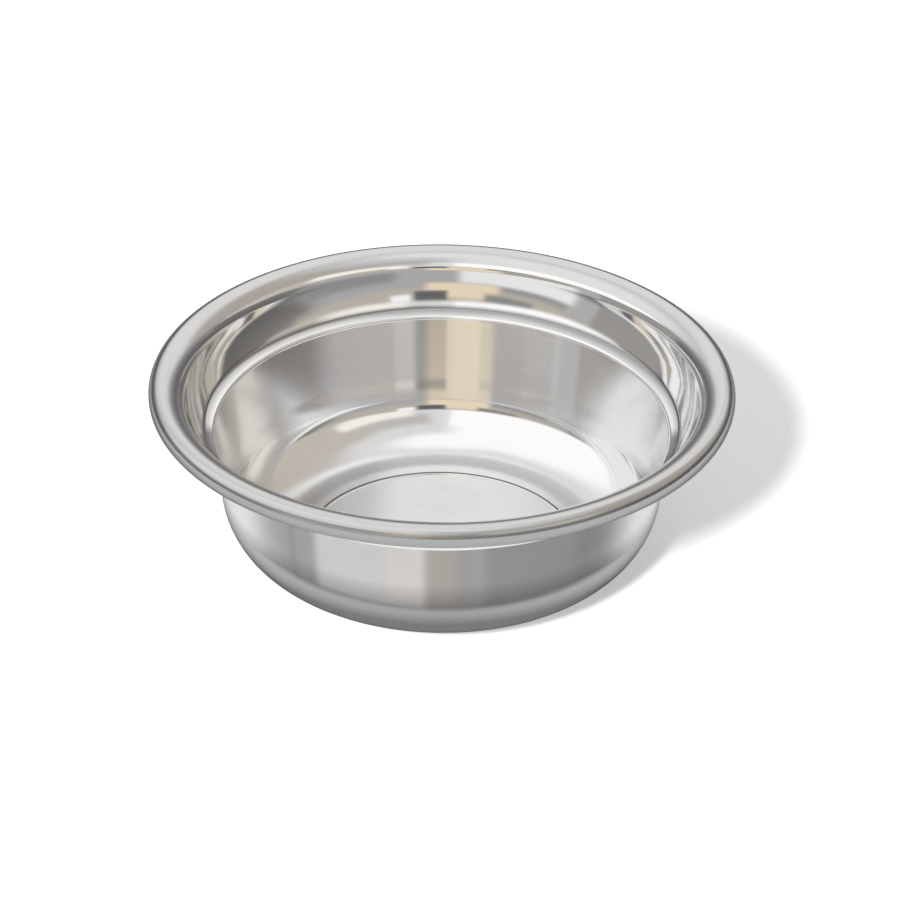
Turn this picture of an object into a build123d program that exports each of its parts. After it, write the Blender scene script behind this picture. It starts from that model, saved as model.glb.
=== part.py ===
from build123d import *
import math
import os

# Stainless dog bowl: one pressed sheet with a rolled rim, standing on a bonded rubber ring.
# Lengths are in millimetres and angles in degrees.
# The origin is the centre of the standing face, and +Z points up out of the bowl.

# The whole shell
rim_diameter = 210.0
shell_height = 70.2
sheet_thickness = 0.6

# The rim: a bead rolled outwards and under, with a wider lip on its inner side
roll_radius = 4.0
roll_sweep = 225.0
lip_radius = 9.6
lip_angle = 73.0

# The flare below the lip: a short bend, then a long slow curve down to the ledge
flare_bend_radius = 33.0
flare_bend_angle = 10.7
flare_radius = 60.0
flare_angle = 7.0

# The narrow ledge at the foot of the flare, which slopes inwards, and its two edges
ledge_width = 4.0
ledge_drop = 1.6
ledge_radius = 2.5
shoulder_radius = 1.6

# The wall and the round corner into the floor
wall_taper = 6.3
corner_radius = 27.0

# The floor: a flat band round the foot panel, which is pressed down to stand on
band_width = 3.55
step_run = 0.35
foot_drop = 0.7
step_crest_radius = 0.75
step_root_radius = 0.25

# The rubber ring, bonded flat under the foot panel
ring_height = 1.8
ring_width = 9.0
ring_inset = 2.5
ring_edge_radius = 0.7

os.makedirs("parts", exist_ok=True)

# Places on the wet face, as radius and height
bead_radius = rim_diameter / 2 - roll_radius
crown_z = ring_height + shell_height
panel_z = ring_height + sheet_thickness
floor_z = panel_z + foot_drop
corner_reach = corner_radius * math.tan(math.radians(90 - wall_taper) / 2)

with BuildPart() as bowl_shell:
    with BuildSketch(Plane.XZ) as sheet_section:
        with BuildLine() as wet_face:
            roll = CenterArc((bead_radius, crown_z - roll_radius), roll_radius, 90, -roll_sweep)
            lip = CenterArc((bead_radius, crown_z - lip_radius), lip_radius, 90, lip_angle)
            flare_bend = JernArc(lip @ 1, lip % 1, flare_bend_radius, -flare_bend_angle)
            flare = JernArc(flare_bend @ 1, flare_bend % 1, flare_radius, -flare_angle)
            ledge_foot = flare @ 1
            shoulder = ledge_foot - Vector(ledge_width, ledge_drop)
            wall_run = (shoulder.Y - floor_z) * math.tan(math.radians(wall_taper))
            wall_foot_radius = shoulder.X - wall_run
            step_radius = wall_foot_radius - corner_reach - band_width
            panel_radius = step_radius - step_run
            floor_and_wall = FilletPolyline(
                (0, panel_z),
                (panel_radius, panel_z),
                (step_radius, floor_z),
                (wall_foot_radius, floor_z),
                shoulder,
                ledge_foot,
                radius=[step_root_radius, step_crest_radius, corner_radius, shoulder_radius],
            )
            fillet(wet_face.vertices().sort_by_distance(ledge_foot)[0], ledge_radius)
            offset(amount=sheet_thickness, side=Side.RIGHT)
        make_face()
    revolve(axis=Axis.Z)

# The ring lies flat against the underside of the foot panel.
ring_outer_radius = panel_radius - ring_inset

with BuildPart() as non_slip_ring:
    with BuildSketch() as ring_face:
        Circle(ring_outer_radius)
        Circle(ring_outer_radius - ring_width, mode=Mode.SUBTRACT)
    extrude(amount=ring_height)
    fillet(non_slip_ring.faces().sort_by(Axis.Z)[0].edges(), ring_edge_radius)

bowl_shell.part.label = "bowl_shell"
non_slip_ring.part.label = "non_slip_ring"
export_step(bowl_shell.part, "parts/bowl_shell.step")
export_step(non_slip_ring.part, "parts/non_slip_ring.step")
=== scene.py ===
"""Dresses the stainless dog bowl: a pressed steel shell with a polished inside, and its rubber ring."""

import math
from typing import NamedTuple

import bmesh
import bpy
from bpy.props import FloatProperty, FloatVectorProperty, IntProperty, PointerProperty
from mathutils import Matrix, Vector


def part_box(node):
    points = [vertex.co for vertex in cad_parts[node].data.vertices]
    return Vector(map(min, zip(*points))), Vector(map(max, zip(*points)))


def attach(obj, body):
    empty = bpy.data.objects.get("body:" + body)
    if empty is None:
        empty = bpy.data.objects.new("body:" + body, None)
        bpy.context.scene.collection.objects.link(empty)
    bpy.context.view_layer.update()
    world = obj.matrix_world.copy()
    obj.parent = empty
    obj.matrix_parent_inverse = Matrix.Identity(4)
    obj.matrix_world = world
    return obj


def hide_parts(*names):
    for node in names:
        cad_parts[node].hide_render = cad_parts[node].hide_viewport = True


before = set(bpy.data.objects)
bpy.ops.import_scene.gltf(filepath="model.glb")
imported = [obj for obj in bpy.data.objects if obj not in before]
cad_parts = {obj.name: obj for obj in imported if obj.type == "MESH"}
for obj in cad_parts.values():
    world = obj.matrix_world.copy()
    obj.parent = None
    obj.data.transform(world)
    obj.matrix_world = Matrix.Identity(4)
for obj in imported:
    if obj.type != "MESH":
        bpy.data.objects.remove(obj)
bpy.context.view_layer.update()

bl_info = {
    "name": "Stainless Dog Bowl",
    "version": (1, 0, 0),
    "blender": (4, 5, 0),
    "location": "3D View > Sidebar > Dog Bowl",
    "description": "Models a pressed steel dog bowl on its rubber ring, with a small studio",
    "category": "Add Mesh",
}

SHELL_LOW, SHELL_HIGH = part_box("bowl_shell")
RING_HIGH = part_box("non_slip_ring")[1]

# The photograph's frame, in pixels
PHOTO_WIDTH = 900
FOCAL_PIXELS = 4188.6

# Material slots of the shell
POLISHED, WALL, RIM, ROLL, OUTSIDE = range(5)

# Points closer than this become one.
MERGE_DISTANCE = 1e-6

# A straight run has a point this near each end, unless that is too large a share of a short run.
RUN_HOLD = 0.0003
LONGEST_HOLD_SHARE = 0.4

# Painted shade on the steel by height, as pairs of a height share and the share of the colour there.
# The roll counts its radii from the bead's middle, and the outside the corner's radii from the standing face.
# The ledge counts the rise of its inner corner from that corner's foot.
# Painted shade: a dark band round the roll's outer flank.
ROLL_PAINTED_SHADE_SHARES = ((-0.85, 1.0), (-0.6, 0.95), (-0.45, 0.55), (0.2, 0.55), (0.65, 0.8), (0.95, 1.0))
# Painted shade: the outside darker towards its foot.
OUTSIDE_PAINTED_SHADE_SHARES = ((0.08, 0.8), (0.2, 0.28), (0.6, 0.24), (1.0, 0.6), (1.3, 1.0))
# Painted shade: the ledge darker in its inner corner.
LEDGE_PAINTED_SHADE_SHARES = ((-1.0, 1.0), (-0.1, 0.6), (0.5, 0.3), (1.0, 0.6), (1.8, 1.0))

# How dark the toned steel is at a glancing angle
GLANCING_SHADE = 0.25

# The floor's dullness fades out between two heights, in corner radii.
DULL_HEIGHT_SHARES = (0.2, 0.5)

# Where the slope of the wall's lines starts, in corner radii, and the height over which a slope eases in
WALL_LEAN_START_SHARE = 0.82
LEAN_EASE = 0.006

# A painted dark line of shade in the floor's step: half the line's width, where it has faded out, its cover
# and its shade
PAINTED_LINE_HALF_WIDTH = 0.00025
PAINTED_LINE_REACH = 0.00055
PAINTED_LINE_COVER = 0.9
PAINTED_LINE_SHADE = 0.12


class ShellSizes(bpy.types.PropertyGroup):
    """Sizes of the pressed sheet."""

    rim_radius: FloatProperty(
        name="Rim Radius", description="Outer radius of the rolled rim",
        default=SHELL_HIGH.x, unit="LENGTH",
    )
    crown_height: FloatProperty(
        name="Crown Height", description="Height of the top of the rim",
        default=SHELL_HIGH.z, unit="LENGTH",
    )
    base_height: FloatProperty(
        name="Base Height", description="Height of the sheet's underside, held up by the ring",
        default=SHELL_LOW.z, unit="LENGTH",
    )
    sheet: FloatProperty(
        name="Sheet", description="Thickness of the steel", default=0.0006, unit="LENGTH",
    )
    roll_radius: FloatProperty(
        name="Roll Radius", description="Radius of the bead rolled outwards and under",
        default=0.004, unit="LENGTH",
    )
    roll_sweep: FloatProperty(
        name="Roll Sweep", description="How far the bead is rolled, from its top",
        default=math.radians(225), subtype="ANGLE",
    )
    lip_radius: FloatProperty(
        name="Lip Radius", description="Radius of the wider lip on the inner side of the bead",
        default=0.0096, unit="LENGTH",
    )
    lip_sweep: FloatProperty(
        name="Lip Sweep", description="How far the lip turns down to the crease",
        default=math.radians(73), subtype="ANGLE",
    )
    satin_sweep: FloatProperty(
        name="Satin Sweep", description="How much of the lip, from its top, has the rim's satin finish",
        default=math.radians(50), subtype="ANGLE",
    )
    flare_bend_radius: FloatProperty(
        name="Flare Bend Radius", description="Radius of the short bend below the lip",
        default=0.033, unit="LENGTH",
    )
    flare_bend_sweep: FloatProperty(
        name="Flare Bend Sweep", description="How far the short bend turns",
        default=math.radians(10.7), subtype="ANGLE",
    )
    flare_radius: FloatProperty(
        name="Flare Radius", description="Radius of the slow curve down to the ledge",
        default=0.06, unit="LENGTH",
    )
    flare_sweep: FloatProperty(
        name="Flare Sweep", description="How far the slow curve turns",
        default=math.radians(7), subtype="ANGLE",
    )
    ledge_width: FloatProperty(
        name="Ledge Width", description="From the foot of the flare in to the shoulder",
        default=0.004, unit="LENGTH",
    )
    ledge_drop: FloatProperty(
        name="Ledge Drop", description="How far the ledge falls from the flare to the shoulder",
        default=0.0016, unit="LENGTH",
    )
    ledge_radius: FloatProperty(
        name="Ledge Radius", description="Radius between the flare and the ledge",
        default=0.0025, unit="LENGTH",
    )
    shoulder_radius: FloatProperty(
        name="Shoulder Radius", description="Radius of the edge between ledge and wall",
        default=0.0016, unit="LENGTH",
    )
    wall_taper: FloatProperty(
        name="Wall Taper", description="How far the wall leans out",
        default=math.radians(6.3), subtype="ANGLE",
    )
    corner_radius: FloatProperty(
        name="Corner Radius", description="Radius from the wall into the floor",
        default=0.027, unit="LENGTH",
    )
    polish_sweep: FloatProperty(
        name="Polish Sweep", description="How far up the corner the floor's polish goes",
        default=math.radians(66), subtype="ANGLE",
    )
    band_width: FloatProperty(
        name="Band Width", description="Flat band round the foot panel", default=0.00355, unit="LENGTH",
    )
    step_run: FloatProperty(
        name="Step Run", description="Width of the step down to the foot panel",
        default=0.00035, unit="LENGTH",
    )
    foot_drop: FloatProperty(
        name="Foot Drop", description="Depth of the step down to the foot panel",
        default=0.0007, unit="LENGTH",
    )
    step_crest_radius: FloatProperty(
        name="Step Crest Radius", description="Radius of the step's upper edge",
        default=0.00075, unit="LENGTH",
    )
    step_root_radius: FloatProperty(
        name="Step Root Radius", description="Radius of the step's lower edge",
        default=0.00025, unit="LENGTH",
    )
    steps_round: IntProperty(
        name="Steps Round", description="Facets round the bowl", default=256, min=32,
    )


class SteelFinish(bpy.types.PropertyGroup):
    """Colours and gloss of the steel."""

    polished_colour: FloatVectorProperty(
        name="Polished Colour", description="Steel colour of the floor, the ledge and the flare",
        default=(0.86, 0.86, 0.86), subtype="COLOR", min=0, max=1,
    )
    wall_colour: FloatVectorProperty(
        name="Wall Colour", description="Steel colour of the wall inside",
        default=(0.84, 0.84, 0.845), subtype="COLOR", min=0, max=1,
    )
    rim_colour: FloatVectorProperty(
        name="Rim Colour", description="Steel colour of the rolled rim",
        default=(0.66, 0.66, 0.66), subtype="COLOR", min=0, max=1,
    )
    outside_colour: FloatVectorProperty(
        name="Outside Colour", description="Steel colour outside",
        default=(0.74, 0.735, 0.73), subtype="COLOR", min=0, max=1,
    )
    polished_roughness: FloatProperty(
        name="Polished Roughness", description="Roughness of the ledge and the flare",
        default=0.05, subtype="FACTOR", min=0, max=1,
    )
    floor_roughness: FloatProperty(
        name="Floor Roughness", description="Roughness of the floor, which feeding has dulled",
        default=0.15, subtype="FACTOR", min=0, max=1,
    )
    wall_roughness: FloatProperty(
        name="Wall Roughness", description="Roughness of the wall inside",
        default=0.11, subtype="FACTOR", min=0, max=1,
    )
    wall_lean: FloatProperty(
        name="Wall Lean", description="How far the wall's fine lines slope up to the mouth",
        default=math.radians(22), subtype="ANGLE",
    )
    outside_lean: FloatProperty(
        name="Outside Lean", description="How far the outside's fine lines slope up",
        default=math.radians(29.5), subtype="ANGLE",
    )
    rim_roughness: FloatProperty(
        name="Rim Roughness", description="Roughness of the rolled rim",
        default=0.2, subtype="FACTOR", min=0, max=1,
    )
    outside_roughness: FloatProperty(
        name="Outside Roughness", description="Roughness outside",
        default=0.13, subtype="FACTOR", min=0, max=1,
    )


class RingSizes(bpy.types.PropertyGroup):
    """Size and colour of the rubber ring."""

    outer_radius: FloatProperty(
        name="Outer Radius", description="Outer radius of the ring",
        default=RING_HIGH.x, unit="LENGTH",
    )
    width: FloatProperty(
        name="Width", description="From the outer to the inner side", default=0.009, unit="LENGTH",
    )
    edge_radius: FloatProperty(
        name="Edge Radius", description="Radius of the standing face's edges",
        default=0.0007, unit="LENGTH",
    )
    colour: FloatVectorProperty(
        name="Colour", description="Colour of the rubber",
        default=(0.03, 0.03, 0.032), subtype="COLOR", min=0, max=1,
    )
    steps_round: IntProperty(
        name="Steps Round", description="Facets round the ring", default=192, min=32,
    )


class StudioSetup(bpy.types.PropertyGroup):
    """Camera and light of the studio."""

    camera_elevation: FloatProperty(
        name="Camera Elevation", description="Angle of the view above the horizon",
        default=math.radians(30.67), subtype="ANGLE",
    )
    camera_roll: FloatProperty(
        name="Camera Roll", description="Turn of the camera about its line of sight",
        default=math.radians(-0.6), subtype="ANGLE",
    )
    camera_distance: FloatProperty(
        name="Camera Distance", description="From the camera to the middle of the rim",
        default=1.5, unit="LENGTH",
    )
    camera_right: FloatProperty(
        name="Camera Right", description="How far the picture's centre is right of the rim's middle",
        default=0.00285, unit="LENGTH",
    )
    camera_down: FloatProperty(
        name="Camera Down", description="How far the picture's centre is below the rim's middle",
        default=0.02241, unit="LENGTH",
    )
    ambient: FloatProperty(
        name="Ambient", description="Even light from all round", default=0.4, min=0,
    )
    key_strength: FloatProperty(
        name="Key Strength", description="Strength of the key lamp", default=3.2, min=0,
    )
    key_azimuth: FloatProperty(
        name="Key Azimuth", description="Key lamp's bearing from the camera's side",
        default=math.radians(-20), subtype="ANGLE",
    )
    key_elevation: FloatProperty(
        name="Key Elevation", description="Key lamp's height above the horizon",
        default=math.radians(33.5), subtype="ANGLE",
    )
    key_spread: FloatProperty(
        name="Key Spread", description="Apparent size of the key lamp",
        default=math.radians(6), subtype="ANGLE",
    )
    floor_glow: FloatProperty(
        name="Floor Glow", description="What the floor adds for the camera and reflections, to be white",
        default=0.34, min=0, max=1,
    )
    floor_colour: FloatVectorProperty(
        name="Floor Colour", description="Colour of the pale floor",
        default=(0.9, 0.9, 0.9), subtype="COLOR", min=0, max=1,
    )


class Card(NamedTuple):
    """A soft box or a plain panel of the studio, by where the bowl sees it, in degrees."""

    azimuth: float
    elevation: float
    half_width: float
    half_height: float
    edge: float
    colour: tuple


# Azimuth 0 is the camera's side and grows to the right. Later cards cover earlier ones.
CEILING = (0.80, 0.795, 0.79)
CEILING_CARDS = (
    Card(-72, 56, 62, 46, 15, (1.12, 1.12, 1.12)),
    Card(-40, 46, 34, 16, 2, (1.14, 1.13, 1.12)),
    Card(176, 44, 30, 24, 6, (1.04, 1.03, 1.01)),
    Card(70, 50, 62, 9, 5, (0.58, 0.56, 0.54)),
    Card(100, 41, 40, 20, 6, (0.60, 0.55, 0.49)),
    Card(42, 38, 24, 6, 4, (1.04, 0.99, 0.90)),
    Card(0, 90, 180, 14, 5, (1.13, 1.12, 1.11)),
)
LOW_WALL = (0.34, 0.335, 0.335)
LOW_WALL_CARDS = (
    Card(180, 6, 60, 9, 4, (0.16, 0.16, 0.17)),
    Card(-92, 17, 26, 7, 6, (0.36, 0.34, 0.315)),
    Card(92, 15, 26, 9, 6, (0.21, 0.2, 0.19)),
    Card(34, 20, 26, 12, 6, (0.44, 0.435, 0.44)),
    Card(42, 5, 22, 10, 5, (0.31, 0.305, 0.30)),
    Card(6, 6, 14, 12, 4, (0.46, 0.45, 0.445)),
    Card(100, 4, 26, 10, 8, (0.15, 0.145, 0.14)),
    Card(0, 30, 75, 5.5, 4, (0.54, 0.49, 0.43)),
    Card(-9, 26.5, 17, 7.5, 3, (0.90, 0.76, 0.56)),
    Card(-66, 14, 7, 12, 2, (0.48, 0.475, 0.47)),
    Card(-32, 32, 12, 3, 2, (0.28, 0.28, 0.28)),
    Card(-34, 7, 27, 11.5, 3, (0.92, 0.91, 0.905)),
    Card(0, 0, 75, 5, 2, (0.17, 0.17, 0.175)),
)
CAMERA_CARDS = (
    Card(6, 32, 8, 3.5, 1.5, (0.14, 0.14, 0.145)),
    Card(21, 33, 5, 2.5, 1.5, (1.05, 1.05, 1.05)),
)
# The low wall's top edge stands higher towards the camera than at the sides.
EDGE_ELEVATION = 22.5
EDGE_RISE = 13.5
EDGE_SOFTNESS = 1.5
STUDIO_RADIUS = 6.0


class Bend(NamedTuple):
    """An arc of a section, of the shell's wet face or of the ring."""

    centre: Vector
    radius: float
    start: float
    sweep: float
    step: float

    def dry(self, sheet):
        """The same arc on the dry face, walked the other way."""
        radius = self.radius + math.copysign(sheet, self.sweep)
        return Bend(self.centre, radius, self.start + self.sweep, -self.sweep, self.step * 2)

    def point(self, angle):
        """The place on the arc at an angle."""
        return self.centre + toward(angle) * self.radius


def place(radius, height):
    """A point of the section, which stands in the XZ plane."""
    return Vector((radius, 0, height))


def toward(angle):
    """A unit step in the section."""
    return Vector((math.cos(angle), 0, math.sin(angle)))


def shell_zones(sizes):
    """The arcs of the wet face from the floor out to the end of the roll, as (slot, arcs) pairs.

    The step's crest and the ledge's inner corner are given as well, because painted shade lies along them.
    """
    quarter = math.pi / 2
    fine, medium, coarse = math.radians(2.5), math.radians(5), math.radians(10)
    bead_radius = sizes.rim_radius - sizes.roll_radius
    bead = place(bead_radius, sizes.crown_height - sizes.roll_radius)
    lip_centre = place(bead_radius, sizes.crown_height - sizes.lip_radius)
    roll = Bend(bead, sizes.roll_radius, quarter, -sizes.roll_sweep, medium)
    lip_start = quarter + sizes.lip_sweep
    bare_sweep = sizes.lip_sweep - sizes.satin_sweep
    lip_foot = Bend(lip_centre, sizes.lip_radius, lip_start, -bare_sweep, fine)
    lip_top = Bend(lip_centre, sizes.lip_radius, lip_start - bare_sweep, -sizes.satin_sweep, fine)

    # The flare leaves the lip's foot in the lip's own direction, by a short bend and a slow curve.
    bend_end = lip_start - math.pi
    bend_start = bend_end - sizes.flare_bend_sweep
    crease = lip_foot.point(lip_start)
    bend_centre = crease - toward(bend_end) * sizes.flare_bend_radius
    flare_bend = Bend(bend_centre, sizes.flare_bend_radius, bend_start, sizes.flare_bend_sweep, fine)
    flare_centre = flare_bend.point(bend_start) - toward(bend_start) * sizes.flare_radius
    ledge_foot = flare_centre + toward(bend_start - sizes.flare_sweep) * sizes.flare_radius

    # The ledge slopes inwards, with a rounded edge at each side.
    ledge_slope = math.atan2(sizes.ledge_drop, sizes.ledge_width)
    outward, upward = toward(ledge_slope), toward(ledge_slope + quarter)
    inner_side = ledge_foot + upward * sizes.ledge_radius - flare_centre
    along = inner_side.dot(outward)
    reach = sizes.flare_radius - sizes.ledge_radius
    slide = math.sqrt(along**2 - inner_side.length_squared + reach**2) - along
    from_flare = inner_side + outward * slide
    touch = math.atan2(from_flare.z, from_flare.x)
    ledge_start = ledge_slope - quarter
    ledge_edge = Bend(
        flare_centre + from_flare, sizes.ledge_radius, ledge_start, touch - ledge_start, medium,
    )
    flare = Bend(flare_centre, sizes.flare_radius, touch, bend_start - touch, fine / 5)
    shoulder = ledge_foot - place(sizes.ledge_width, sizes.ledge_drop)
    wall_turn = quarter - sizes.wall_taper
    shoulder_turn = wall_turn - ledge_slope
    shoulder_reach = sizes.shoulder_radius * math.tan(shoulder_turn / 2)
    shoulder_centre = shoulder + outward * shoulder_reach - upward * sizes.shoulder_radius
    shoulder_edge = Bend(
        shoulder_centre, sizes.shoulder_radius, math.pi - sizes.wall_taper, -shoulder_turn, medium,
    )

    # The floor: a round corner, a flat band and the step down to the foot panel.
    panel_height = sizes.base_height + sizes.sheet
    floor_height = panel_height + sizes.foot_drop
    wall_foot = shoulder.x - (shoulder.z - floor_height) * math.tan(sizes.wall_taper)
    flat_radius = wall_foot - sizes.corner_radius * math.tan(wall_turn / 2)
    corner_centre = place(flat_radius, floor_height + sizes.corner_radius)
    corner = Bend(corner_centre, sizes.corner_radius, -quarter, sizes.polish_sweep, fine)
    wall_bend = Bend(
        corner_centre, sizes.corner_radius,
        sizes.polish_sweep - quarter, wall_turn - sizes.polish_sweep, fine,
    )
    step_slope = math.atan2(sizes.foot_drop, sizes.step_run)
    ease = math.tan(step_slope / 2)
    step_radius = flat_radius - sizes.band_width
    crest_centre = place(step_radius + sizes.step_crest_radius * ease, floor_height - sizes.step_crest_radius)
    crest = Bend(crest_centre, sizes.step_crest_radius, quarter + step_slope, -step_slope, coarse)
    panel_radius = step_radius - sizes.step_run
    root_centre = place(panel_radius - sizes.step_root_radius * ease, panel_height + sizes.step_root_radius)
    root = Bend(root_centre, sizes.step_root_radius, -quarter, step_slope, coarse)
    zones = [
        (POLISHED, (root, crest, corner)),
        (WALL, (wall_bend,)),
        (POLISHED, (shoulder_edge, ledge_edge, flare, flare_bend, lip_foot)),
        (RIM, (lip_top,)),
        (ROLL, (roll,)),
    ]
    return zones, crest, ledge_edge


def draw_run(bm, tip, end):
    """Extrudes the tip to a new place, with points near both ends that keep the run's shading flat."""
    start = tip.co.copy()
    hold = RUN_HOLD / max((end - start).length, RUN_HOLD)
    shares = (hold, 1 - hold, 1) if hold < LONGEST_HOLD_SHARE else (1,)
    for share in shares:
        tip = bmesh.ops.extrude_vert_indiv(bm, verts=[tip])["verts"][0]
        tip.co = start.lerp(end, share)
    return tip


def draw_bend(bm, tip, bend):
    """Spins the tip along an arc of the section."""
    steps = max(2, round(abs(bend.sweep) / bend.step))
    made = bmesh.ops.spin(
        bm, geom=[tip], cent=bend.centre, axis=(0, -1, 0), angle=bend.sweep, steps=steps,
    )
    return made["geom_last"][0]


def draw_zone(bm, start, bends, end):
    """Draws one stretch of the section. Gives its edges and its last place."""
    old_edges = set(bm.edges)
    tip = bm.verts.new(start)
    for bend in bends:
        first = bend.point(bend.start)
        if (first - tip.co).length > MERGE_DISTANCE:
            tip = draw_run(bm, tip, first)
        tip = draw_bend(bm, tip, bend)
    if (end - tip.co).length > MERGE_DISTANCE:
        tip = draw_run(bm, tip, end)
    return [edge for edge in bm.edges if edge not in old_edges], tip.co.copy()


def spin_zones(bm, zones, steps_round):
    """Spins each (slot, edges) stretch a quarter round the axis, and repeats the quarter."""
    quarter = math.pi / 2
    for slot, line in zones:
        old_faces = set(bm.faces)
        points = list({point for edge in line for point in edge.verts})
        bmesh.ops.spin(
            bm, geom=points + line, cent=(0, 0, 0), axis=(0, 0, 1), angle=quarter, steps=steps_round // 4,
        )
        for face in bm.faces:
            if face not in old_faces:
                face.material_index = slot
                face.smooth = True
    bmesh.ops.spin(
        bm, geom=bm.faces[:], cent=(0, 0, 0), axis=(0, 0, 1), angle=quarter * 3, steps=3, use_duplicate=True,
    )


def finish_mesh(bm, name, materials):
    """Closes seams and poles, turns the faces outwards and makes the object."""
    bmesh.ops.remove_doubles(bm, verts=bm.verts, dist=MERGE_DISTANCE)
    bmesh.ops.dissolve_degenerate(bm, edges=bm.edges, dist=MERGE_DISTANCE)
    bmesh.ops.recalc_face_normals(bm, faces=bm.faces)
    mesh = bpy.data.meshes.new(name)
    bm.to_mesh(mesh)
    bm.free()
    for material in materials:
        mesh.materials.append(material)
    piece = bpy.data.objects.new(name, mesh)
    bpy.context.collection.objects.link(piece)
    return piece


class Graph:
    """Adds nodes to a tree. A plain number is set on the socket, and a socket is linked to it."""

    def __init__(self, tree):
        self.tree = tree

    def feed(self, socket, value):
        if isinstance(value, bpy.types.NodeSocket):
            self.tree.links.new(value, socket)
        else:
            socket.default_value = value

    def add(self, kind, inputs=None, **settings):
        node = self.tree.nodes.new(kind)
        for setting, value in settings.items():
            setattr(node, setting, value)
        for socket, value in (inputs or {}).items():
            self.feed(node.inputs[socket], value)
        return node

    def maths(self, operation, *values):
        node = self.add("ShaderNodeMath", dict(enumerate(values)), operation=operation)
        return node.outputs[0]

    def vector_maths(self, operation, *values):
        node = self.add("ShaderNodeVectorMath", dict(enumerate(values)), operation=operation)
        return node.outputs["Value" if operation in {"LENGTH", "DOT_PRODUCT"} else "Vector"]

    def spread(self, value, low, high, from_low=0.0, from_high=1.0, smooth=False):
        """Maps a value from one range to another, held inside it."""
        inputs = {
            "Value": value, "From Min": from_low, "From Max": from_high, "To Min": low, "To Max": high,
        }
        style = "SMOOTHSTEP" if smooth else "LINEAR"
        return self.add("ShaderNodeMapRange", inputs, interpolation_type=style).outputs["Result"]

    def tint(self, factor, first, second, blend_type="MIX"):
        """Mixes two colours."""
        node = self.add("ShaderNodeMix", data_type="RGBA", blend_type=blend_type)
        sockets = {socket.identifier: socket for socket in node.inputs}
        self.feed(sockets["Factor_Float"], factor)
        self.feed(sockets["A_Color"], first)
        self.feed(sockets["B_Color"], second)
        return next(socket for socket in node.outputs if socket.identifier == "Result_Color")


def new_group(name, inputs, outputs):
    """An empty node group with named number sockets."""
    group = bpy.data.node_groups.new(name, "ShaderNodeTree")
    for socket, default in inputs.items():
        made = group.interface.new_socket(socket, in_out="INPUT", socket_type="NodeSocketFloat")
        made.default_value = default
    for socket in outputs:
        group.interface.new_socket(socket, in_out="OUTPUT", socket_type="NodeSocketFloat")
    return group


def circular_brushing():
    """Fine lines that run round the bowl, as turning and polishing leave them."""
    group = new_group("circular_brushing", {"Across": 4000.0, "Along": 6.0}, ["Lines"])
    graph = Graph(group)
    inputs = graph.add("NodeGroupInput").outputs
    place_on_bowl = graph.add("ShaderNodeTexCoord").outputs["Object"]
    parts = graph.add("ShaderNodeSeparateXYZ", {"Vector": place_on_bowl}).outputs
    level = graph.add("ShaderNodeCombineXYZ", {"X": parts["X"], "Y": parts["Y"]}).outputs["Vector"]
    radius = graph.vector_maths("LENGTH", level)
    round_bowl = graph.add(
        "ShaderNodeVectorMath",
        {0: graph.vector_maths("NORMALIZE", level), "Scale": inputs["Along"]}, operation="SCALE",
    ).outputs["Vector"]
    height = graph.maths("MULTIPLY", parts["Z"], inputs["Across"])
    upward = graph.add("ShaderNodeCombineXYZ", {"Z": height}).outputs["Vector"]
    noise = graph.add(
        "ShaderNodeTexNoise",
        {
            "Vector": graph.vector_maths("ADD", round_bowl, upward),
            "W": graph.maths("MULTIPLY", radius, inputs["Across"]),
            "Scale": 1.0, "Detail": 2.0, "Roughness": 0.6,
        },
        noise_dimensions="4D",
    )
    graph.add("NodeGroupOutput", {"Lines": noise.outputs["Fac"]})
    return group


def handling_haze():
    """Cloudy patches left by wiping and handling."""
    group = new_group("handling_haze", {"Scale": 30.0}, ["Haze"])
    graph = Graph(group)
    inputs = graph.add("NodeGroupInput").outputs
    place_on_bowl = graph.add("ShaderNodeTexCoord").outputs["Object"]
    noise = graph.add(
        "ShaderNodeTexNoise",
        {"Vector": place_on_bowl, "Scale": inputs["Scale"], "Detail": 5.0, "Roughness": 0.62,
         "Distortion": 0.6},
    )
    haze = graph.spread(noise.outputs["Fac"], 0.0, 1.0, 0.42, 0.72, smooth=True)
    graph.add("NodeGroupOutput", {"Haze": haze})
    return group


def group_node(graph, name, make, **values):
    """Places a shared node group, built the first time that it is asked for."""
    tree = bpy.data.node_groups.get(name) or make()
    inputs = {socket.replace("_", " ").title(): value for socket, value in values.items()}
    return graph.add("ShaderNodeGroup", inputs, node_tree=tree).outputs


def new_material(name):
    """A material with an empty node tree and a Principled shader."""
    material = bpy.data.materials.new(name)
    material.use_nodes = True
    material.node_tree.nodes.clear()
    graph = Graph(material.node_tree)
    shader = graph.add("ShaderNodeBsdfPrincipled")
    graph.add("ShaderNodeOutputMaterial", {"Surface": shader.outputs["BSDF"]})
    return material, graph, shader


def shade(colour, factor):
    """A colour made darker or lighter, with full alpha."""
    return (*(min(1.0, part * factor) for part in colour), 1.0)


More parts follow.
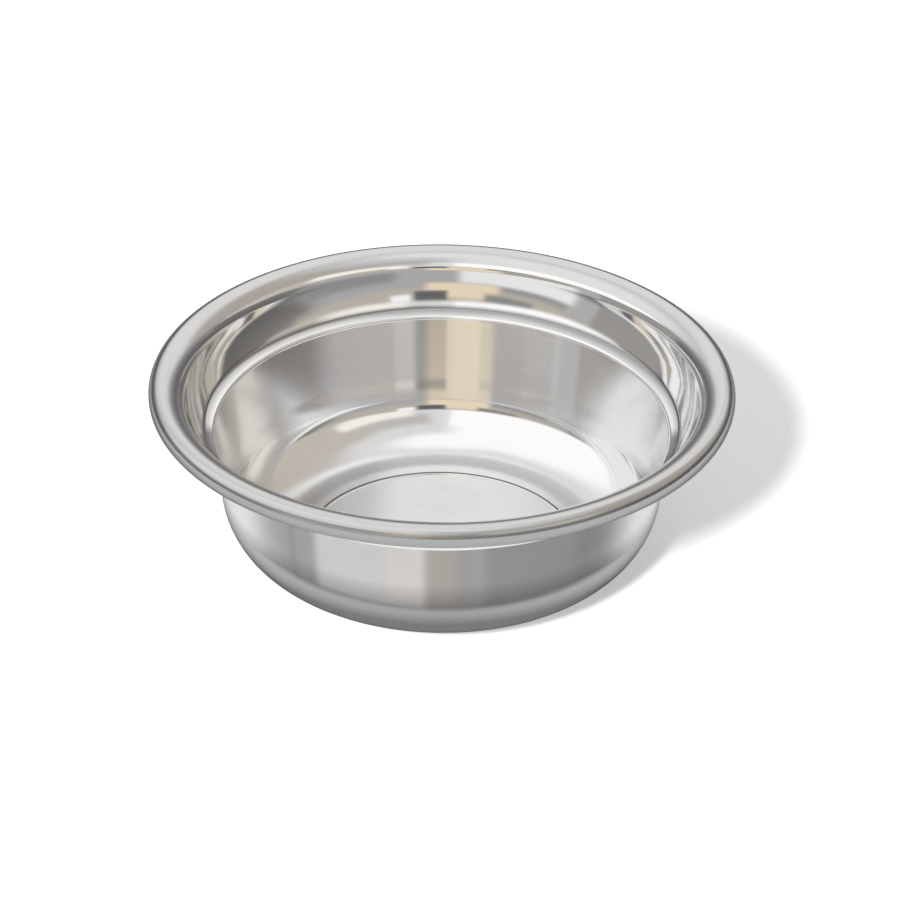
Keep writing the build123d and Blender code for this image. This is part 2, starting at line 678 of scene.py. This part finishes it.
def polished_steel(finish, step_radius, dull_heights, ledge_tones):
    """Mirror-polished steel with a slight wobble from drawing, a duller floor, and painted shade in two
    corners: a dark line at the floor's step and darkening in the ledge's inner corner.
    """
    material, graph, shader = new_material("polished_steel")
    lines = group_node(graph, "circular_brushing", circular_brushing, across=2600.0, along=5.0)["Lines"]
    haze = group_node(graph, "handling_haze", handling_haze, scale=28.0)["Haze"]
    colour = finish.polished_colour
    base = graph.tint(haze, shade(colour, 1.0), shade(colour, 0.96))
    place_on_bowl = graph.add("ShaderNodeTexCoord").outputs["Object"]
    level = graph.vector_maths("MULTIPLY", place_on_bowl, (1.0, 1.0, 0.0))
    past_step = graph.maths("SUBTRACT", graph.vector_maths("LENGTH", level), step_radius)
    from_step = graph.maths("ABSOLUTE", past_step)
    # Painted shade: a dark line along the step's crest.
    painted_line = graph.spread(from_step, PAINTED_LINE_COVER, 0.0, PAINTED_LINE_HALF_WIDTH, PAINTED_LINE_REACH, smooth=True)
    base = graph.tint(painted_line, base, shade(colour, PAINTED_LINE_SHADE))
    height = graph.add("ShaderNodeSeparateXYZ", {"Vector": place_on_bowl}).outputs["Z"]
    # Painted shade: the ledge is darkened in its inner corner.
    base = graph.tint(1.0, base, painted_shade_by_height(graph, height, ledge_tones), "MULTIPLY")
    graph.feed(shader.inputs["Base Color"], base)
    graph.feed(shader.inputs["Metallic"], 1.0)
    low = graph.spread(height, finish.floor_roughness, finish.polished_roughness, *dull_heights, smooth=True)
    uneven = graph.maths("ADD", graph.spread(haze, 0.0, 0.02), graph.spread(lines, 0.0, 0.02))
    graph.feed(shader.inputs["Roughness"], graph.maths("ADD", low, uneven))
    wobble = graph.add(
        "ShaderNodeTexNoise", {"Vector": place_on_bowl, "Scale": 42.0, "Detail": 1.0, "Roughness": 0.4},
    ).outputs["Fac"]
    drawn = graph.add("ShaderNodeBump", {"Height": wobble, "Strength": 1.0, "Distance": 0.00006})
    turned = graph.add(
        "ShaderNodeBump",
        {"Height": lines, "Strength": 0.3, "Distance": 0.000002, "Normal": drawn.outputs["Normal"]},
    )
    graph.feed(shader.inputs["Normal"], turned.outputs["Normal"])
    return material


class Satin(NamedTuple):
    """A satin finish: its colour, its roughness, how far its lines draw out reflections, and their slope.

    Each tone is painted shade: a height on the bowl and the share of the colour that the steel has there.
    """

    colour: tuple
    roughness: float
    smear: float
    lean: float = 0.0
    lean_start: float = 0.0
    tones: tuple = ()


def tones_at(foot, rise, tone_shares):
    """Painted shade shares with their heights on the bowl, from heights that are shares of a rise above a
    foot.
    """
    return tuple((foot + share * rise, tone) for share, tone in tone_shares)


def painted_shade_by_height(graph, height, tones):
    """A grey of painted shade that changes from tone to tone up the bowl."""
    low, high = tones[0][0], tones[-1][0]
    ramp = graph.add("ShaderNodeValToRGB", {"Fac": graph.spread(height, 0.0, 1.0, low, high)})
    stops = ramp.color_ramp.elements
    while len(stops) < len(tones):
        stops.new(0.5)
    for stop, (level, tone) in zip(stops, tones):
        stop.position = (level - low) / (high - low)
        stop.color = (tone, tone, tone, 1.0)
    return ramp.outputs["Color"]


def satin_steel(name, satin):
    """Satin steel with fine lines round the bowl, which draw its reflections out up and down."""
    material, graph, shader = new_material(name)
    lines = group_node(graph, "circular_brushing", circular_brushing, across=4200.0, along=7.0)["Lines"]
    haze = group_node(graph, "handling_haze", handling_haze, scale=40.0)["Haze"]
    colour = satin.colour
    lined = graph.tint(graph.spread(lines, 0.0, 1.0, 0.3, 0.7), shade(colour, 0.97), shade(colour, 1.02))
    base = graph.tint(graph.maths("MULTIPLY", haze, 0.15), lined, shade(colour, 0.94))
    place_on_bowl = graph.add("ShaderNodeTexCoord").outputs["Object"]
    height = graph.add("ShaderNodeSeparateXYZ", {"Vector": place_on_bowl}).outputs["Z"]
    # Painted shade: the colour is darkened by height where the finish asks for it.
    if satin.tones:
        base = graph.tint(1.0, base, painted_shade_by_height(graph, height, satin.tones), "MULTIPLY")
    graph.feed(shader.inputs["Base Color"], base)
    graph.feed(shader.inputs["Metallic"], 1.0)
    low = satin.roughness
    rough = graph.maths("ADD", graph.spread(haze, low, low + 0.015), graph.spread(lines, -0.02, 0.02))
    graph.feed(shader.inputs["Roughness"], rough)
    if satin.tones:
        graph.feed(shader.inputs["Specular Tint"], (GLANCING_SHADE, GLANCING_SHADE, GLANCING_SHADE, 1.0))
    graph.feed(shader.inputs["Anisotropic"], satin.smear)
    graph.feed(shader.inputs["Anisotropic Rotation"], 0.25)
    tangent = graph.add("ShaderNodeTangent", direction_type="RADIAL", axis="Z").outputs["Tangent"]
    graph.feed(shader.inputs["Tangent"], tangent)
    turned = graph.add("ShaderNodeBump", {"Height": lines, "Strength": 0.3, "Distance": 0.000002})
    if satin.lean:
        past_start = graph.maths("SUBTRACT", height, satin.lean_start)
        rise = graph.maths("SMOOTH_MAX", past_start, 0.0, LEAN_EASE)
        sloped = graph.add("ShaderNodeBump", {"Height": rise, "Distance": math.tan(satin.lean)}, invert=True)
        graph.feed(turned.inputs["Normal"], sloped.outputs["Normal"])
    graph.feed(shader.inputs["Normal"], turned.outputs["Normal"])
    return material


def ring_rubber(colour):
    """Matt black rubber with a fine moulded grain and a dusting of wear."""
    material, graph, shader = new_material("ring_rubber")
    place_on_ring = graph.add("ShaderNodeTexCoord").outputs["Object"]
    grain = graph.add(
        "ShaderNodeTexNoise", {"Vector": place_on_ring, "Scale": 1800.0, "Detail": 3.0, "Roughness": 0.6},
    ).outputs["Fac"]
    haze = group_node(graph, "handling_haze", handling_haze, scale=60.0)["Haze"]
    base = graph.tint(haze, shade(colour, 1.0), shade(colour, 1.8))
    graph.feed(shader.inputs["Base Color"], base)
    graph.feed(shader.inputs["Roughness"], graph.spread(haze, 0.62, 0.8))
    bump = graph.add("ShaderNodeBump", {"Height": grain, "Strength": 0.5, "Distance": 0.0001})
    graph.feed(shader.inputs["Normal"], bump.outputs["Normal"])
    return material


def shell_materials(sizes, finish, crest, ledge_edge):
    """The shell's five finishes, in the order of its material slots."""
    corner = sizes.corner_radius
    dull_heights = [corner * share for share in DULL_HEIGHT_SHARES]
    ledge_foot = ledge_edge.point(ledge_edge.start).z
    ledge_rise = ledge_edge.point(ledge_edge.start + ledge_edge.sweep).z - ledge_foot
    ledge_tones = tones_at(ledge_foot, ledge_rise, LEDGE_PAINTED_SHADE_SHARES)
    wall = Satin(
        finish.wall_colour, finish.wall_roughness, smear=1.0,
        lean=finish.wall_lean, lean_start=corner * WALL_LEAN_START_SHARE,
    )
    lip = Satin(finish.rim_colour, finish.rim_roughness, smear=0.3)
    bead_height = sizes.crown_height - sizes.roll_radius
    # The roll has painted shade, a dark band round its outer flank.
    roll = lip._replace(tones=tones_at(bead_height, sizes.roll_radius, ROLL_PAINTED_SHADE_SHARES))
    # The outside has painted shade, darker towards its foot.
    outside = Satin(
        finish.outside_colour, finish.outside_roughness, smear=1.0,
        lean=finish.outside_lean, tones=tones_at(0.0, corner, OUTSIDE_PAINTED_SHADE_SHARES),
    )
    return (
        polished_steel(finish, crest.centre.x, dull_heights, ledge_tones),
        satin_steel("satin_wall", wall),
        satin_steel("satin_lip", lip),
        satin_steel("satin_roll", roll),
        satin_steel("satin_outside", outside),
    )


def make_bowl_shell(sizes, finish):
    """Spins the sheet's section, zone by zone: along the wet face, round the rolled edge and back below."""
    zones, crest, ledge_edge = shell_zones(sizes)
    dry_bends = [bend.dry(sizes.sheet) for _, bends in reversed(zones) for bend in reversed(bends)]
    zones.append((OUTSIDE, dry_bends))
    under_panel = place(0, sizes.base_height)
    ends = [bends[0].point(bends[0].start) for _, bends in zones[1:]] + [under_panel]
    tip = under_panel + place(0, sizes.sheet)
    bm = bmesh.new()
    lines = []
    for (slot, bends), end in zip(zones, ends):
        line, tip = draw_zone(bm, tip, bends, end)
        lines.append((slot, line))
    spin_zones(bm, lines, sizes.steps_round)
    materials = shell_materials(sizes, finish, crest, ledge_edge)
    return finish_mesh(bm, "pressed_shell", materials)


def make_rubber_ring(sizes):
    """Spins the ring's section, with rounded edges on the standing face."""
    quarter = math.pi / 2
    step = math.radians(15)
    inner = sizes.outer_radius - sizes.width
    radius = sizes.edge_radius
    outer_edge = Bend(place(sizes.outer_radius - radius, radius), radius, 0.0, -quarter, step)
    inner_edge = Bend(place(inner + radius, radius), radius, -quarter, -quarter, step)
    bm = bmesh.new()
    top = RING_HIGH.z
    outer_top, inner_top = place(sizes.outer_radius, top), place(inner, top)
    sides, tip = draw_zone(bm, outer_top, (outer_edge, inner_edge), inner_top)
    lid, _ = draw_zone(bm, tip, (), outer_top)
    spin_zones(bm, ((0, sides), (0, lid)), sizes.steps_round)
    return finish_mesh(bm, "rubber_ring", (ring_rubber(sizes.colour),))


def soft_card():
    """Where a direction falls on a card, with soft edges."""
    names = (
        "Azimuth", "Elevation", "Centre Azimuth", "Centre Elevation", "Half Width", "Half Height", "Edge",
    )
    group = new_group("soft_card", dict.fromkeys(names, 0.0), ["Mask"])
    graph = Graph(group)
    inputs = graph.add("NodeGroupInput").outputs
    turn = graph.maths("SUBTRACT", inputs["Azimuth"], inputs["Centre Azimuth"])
    across = graph.maths("ABSOLUTE", graph.maths("WRAP", turn, 180.0, -180.0))
    rise = graph.maths("SUBTRACT", inputs["Elevation"], inputs["Centre Elevation"])
    masks = []
    for away, half in ((across, "Half Width"), (graph.maths("ABSOLUTE", rise), "Half Height")):
        outer = graph.maths("ADD", inputs[half], inputs["Edge"])
        inner = graph.maths("SUBTRACT", inputs[half], inputs["Edge"])
        masks.append(graph.spread(away, 0.0, 1.0, outer, inner, smooth=True))
    graph.add("NodeGroupOutput", {"Mask": graph.maths("MULTIPLY", *masks)})
    return group


def lay_cards(graph, light, cards, azimuth, elevation):
    """Lays cards over a light, each covering the ones before it."""
    for card in cards:
        mask = group_node(
            graph, "soft_card", soft_card, azimuth=azimuth, elevation=elevation,
            centre_azimuth=card.azimuth, centre_elevation=card.elevation,
            half_width=card.half_width, half_height=card.half_height, edge=card.edge,
        )["Mask"]
        light = graph.tint(mask, light, (*card.colour, 1.0))
    return light


def studio_surface():
    """The studio that the steel reflects: a light ceiling over a darker low wall, and a few cards."""
    material = bpy.data.materials.new("studio_surface")
    material.use_nodes = True
    material.node_tree.nodes.clear()
    material.cycles.emission_sampling = "NONE"
    graph = Graph(material.node_tree)
    direction = graph.vector_maths("NORMALIZE", graph.add("ShaderNodeTexCoord").outputs["Object"])
    parts = graph.add("ShaderNodeSeparateXYZ", {"Vector": direction}).outputs
    toward_camera = graph.maths("MULTIPLY", parts["Y"], -1.0)
    azimuth = graph.maths("DEGREES", graph.maths("ARCTAN2", parts["X"], toward_camera))
    elevation = graph.maths("DEGREES", graph.maths("ARCSINE", parts["Z"]))
    bearing = graph.maths("COSINE", graph.maths("RADIANS", azimuth))
    edge_rise = graph.maths("MULTIPLY", graph.maths("MAXIMUM", bearing, 0.0), EDGE_RISE)
    over_edge = graph.maths("SUBTRACT", graph.maths("SUBTRACT", elevation, edge_rise), EDGE_ELEVATION)
    up = graph.spread(over_edge, 0.0, 1.0, -EDGE_SOFTNESS, EDGE_SOFTNESS, smooth=True)
    place_on_dome = (azimuth, elevation)
    below = lay_cards(graph, (*LOW_WALL, 1.0), LOW_WALL_CARDS, *place_on_dome)
    above = lay_cards(graph, (*CEILING, 1.0), CEILING_CARDS, *place_on_dome)
    light = lay_cards(graph, graph.tint(up, below, above), CAMERA_CARDS, *place_on_dome)
    glow = graph.add("ShaderNodeEmission", {"Color": light, "Strength": 1.0})
    graph.add("ShaderNodeOutputMaterial", {"Surface": glow.outputs["Emission"]})
    return material


def make_studio_dome():
    """A dome that only reflections see."""
    bm = bmesh.new()
    bmesh.ops.create_uvsphere(bm, u_segments=96, v_segments=48, radius=STUDIO_RADIUS)
    dome = finish_mesh(bm, "studio_dome", (studio_surface(),))
    for ray in ("camera", "diffuse", "shadow", "volume_scatter"):
        setattr(dome, f"visible_{ray}", False)


def make_floor(colour, glow):
    """A plain pale floor, white to the camera and in reflections but for the shadow, and clear from below."""
    material, graph, shader = new_material("pale_floor")
    place_on_floor = graph.add("ShaderNodeTexCoord").outputs["Object"]
    noise = graph.add("ShaderNodeTexNoise", {"Vector": place_on_floor, "Scale": 3.0, "Detail": 2.0})
    base = graph.tint(noise.outputs["Fac"], shade(colour, 0.995), shade(colour, 1.005))
    graph.feed(shader.inputs["Base Color"], base)
    graph.feed(shader.inputs["Roughness"], 1.0)
    graph.feed(shader.inputs["Specular IOR Level"], 0.0)
    ray = graph.add("ShaderNodeLightPath").outputs
    seen = graph.maths("MAXIMUM", ray["Is Camera Ray"], ray["Is Glossy Ray"])
    seen = graph.maths("MAXIMUM", seen, ray["Is Transmission Ray"])
    graph.feed(shader.inputs["Emission Color"], (1.0, 1.0, 1.0, 1.0))
    graph.feed(shader.inputs["Emission Strength"], graph.maths("MULTIPLY", seen, glow))
    from_below = graph.add("ShaderNodeNewGeometry").outputs["Backfacing"]
    clear = graph.add("ShaderNodeBsdfTransparent").outputs["BSDF"]
    surface = graph.add("ShaderNodeMixShader", {0: from_below, 1: shader.outputs["BSDF"], 2: clear})
    graph.feed(material.node_tree.nodes["Material Output"].inputs["Surface"], surface.outputs["Shader"])
    bm = bmesh.new()
    bmesh.ops.create_grid(bm, x_segments=1, y_segments=1, size=STUDIO_RADIUS)
    floor = finish_mesh(bm, "studio_floor", (material,))


def make_lights(studio):
    """Even light from all round, and a key lamp at the left of the camera."""
    world = bpy.data.worlds.new("even_light")
    world.use_nodes = True
    background = world.node_tree.nodes["Background"]
    background.inputs["Color"].default_value = (1.0, 1.0, 1.0, 1.0)
    background.inputs["Strength"].default_value = studio.ambient
    bpy.context.scene.world = world
    data = bpy.data.lights.new("key_lamp", "SUN")
    data.energy = studio.key_strength
    data.angle = studio.key_spread
    lamp = bpy.data.objects.new("key_lamp", data)
    level = math.cos(studio.key_elevation)
    lamp_side = Vector((
        math.sin(studio.key_azimuth) * level, -math.cos(studio.key_azimuth) * level,
        math.sin(studio.key_elevation),
    ))
    lamp.rotation_mode = "QUATERNION"
    lamp.rotation_quaternion = lamp_side.to_track_quat("Z", "Y")
    lamp.visible_glossy = False
    bpy.context.collection.objects.link(lamp)


def make_camera(studio, sizes):
    """The camera at the photograph's viewing angle."""
    data = bpy.data.cameras.new("photo_camera")
    data.sensor_width = 36.0
    data.lens = FOCAL_PIXELS / PHOTO_WIDTH * data.sensor_width
    camera = bpy.data.objects.new("photo_camera", data)
    level = math.cos(studio.camera_elevation)
    forward = Vector((0, level, -math.sin(studio.camera_elevation)))
    roll = Matrix.Rotation(studio.camera_roll, 3, forward)
    right = roll @ Vector((1, 0, 0))
    down = forward.cross(right)
    rim_middle = Vector((0, 0, sizes.crown_height - sizes.roll_radius))
    camera.matrix_world = Matrix.Translation(
        rim_middle - forward * studio.camera_distance
        + right * studio.camera_right + down * studio.camera_down
    ) @ Matrix((right, -down, -forward)).transposed().to_4x4()
    bpy.context.collection.objects.link(camera)
    bpy.context.scene.camera = camera


class BOWL_OT_pressed_shell(bpy.types.Operator):
    """Models the pressed steel shell in place of its CAD node"""

    bl_idname = "bowl.pressed_shell"
    bl_label = "Pressed Shell"

    def execute(self, context):
        shell = make_bowl_shell(context.scene.bowl_shell, context.scene.bowl_steel)
        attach(shell, "root")
        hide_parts("bowl_shell")
        return {"FINISHED"}


class BOWL_OT_rubber_ring(bpy.types.Operator):
    """Models the rubber ring in place of its CAD node"""

    bl_idname = "bowl.rubber_ring"
    bl_label = "Rubber Ring"

    def execute(self, context):
        ring = make_rubber_ring(context.scene.bowl_ring)
        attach(ring, "root")
        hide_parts("non_slip_ring")
        return {"FINISHED"}


class BOWL_OT_studio(bpy.types.Operator):
    """Sets up the floor, the light and the camera"""

    bl_idname = "bowl.studio"
    bl_label = "Studio"

    def execute(self, context):
        studio = context.scene.bowl_studio
        make_floor(studio.floor_colour, studio.floor_glow)
        make_studio_dome()
        make_lights(studio)
        make_camera(studio, context.scene.bowl_shell)
        context.scene.view_settings.view_transform = "Standard"
        return {"FINISHED"}


class BOWL_PT_sidebar(bpy.types.Panel):
    """Lists the bowl's sizes, colours and pieces"""

    bl_idname = "BOWL_PT_sidebar"
    bl_label = "Dog Bowl"
    bl_space_type = "VIEW_3D"
    bl_region_type = "UI"
    bl_category = "Dog Bowl"

    def draw(self, context):
        for group, operators in PANEL_ROWS:
            box = self.layout.box()
            settings = getattr(context.scene, group)
            for name in settings.__annotations__:
                box.prop(settings, name)
            for operator in operators:
                box.operator(operator.bl_idname)


SETTINGS = {
    "bowl_shell": ShellSizes,
    "bowl_steel": SteelFinish,
    "bowl_ring": RingSizes,
    "bowl_studio": StudioSetup,
}
PANEL_ROWS = (
    ("bowl_shell", ()),
    ("bowl_steel", (BOWL_OT_pressed_shell,)),
    ("bowl_ring", (BOWL_OT_rubber_ring,)),
    ("bowl_studio", (BOWL_OT_studio,)),
)
CLASSES = (
    *SETTINGS.values(), BOWL_OT_pressed_shell, BOWL_OT_rubber_ring, BOWL_OT_studio, BOWL_PT_sidebar,
)


def register():
    for cls in CLASSES:
        bpy.utils.register_class(cls)
    for name, group in SETTINGS.items():
        setattr(bpy.types.Scene, name, PointerProperty(type=group))


def unregister():
    for name in SETTINGS:
        delattr(bpy.types.Scene, name)
    for cls in reversed(CLASSES):
        bpy.utils.unregister_class(cls)


def main():
    register()
    bpy.ops.bowl.pressed_shell()
    bpy.ops.bowl.rubber_ring()
    bpy.ops.bowl.studio()


if __name__ == "__main__":
    main()
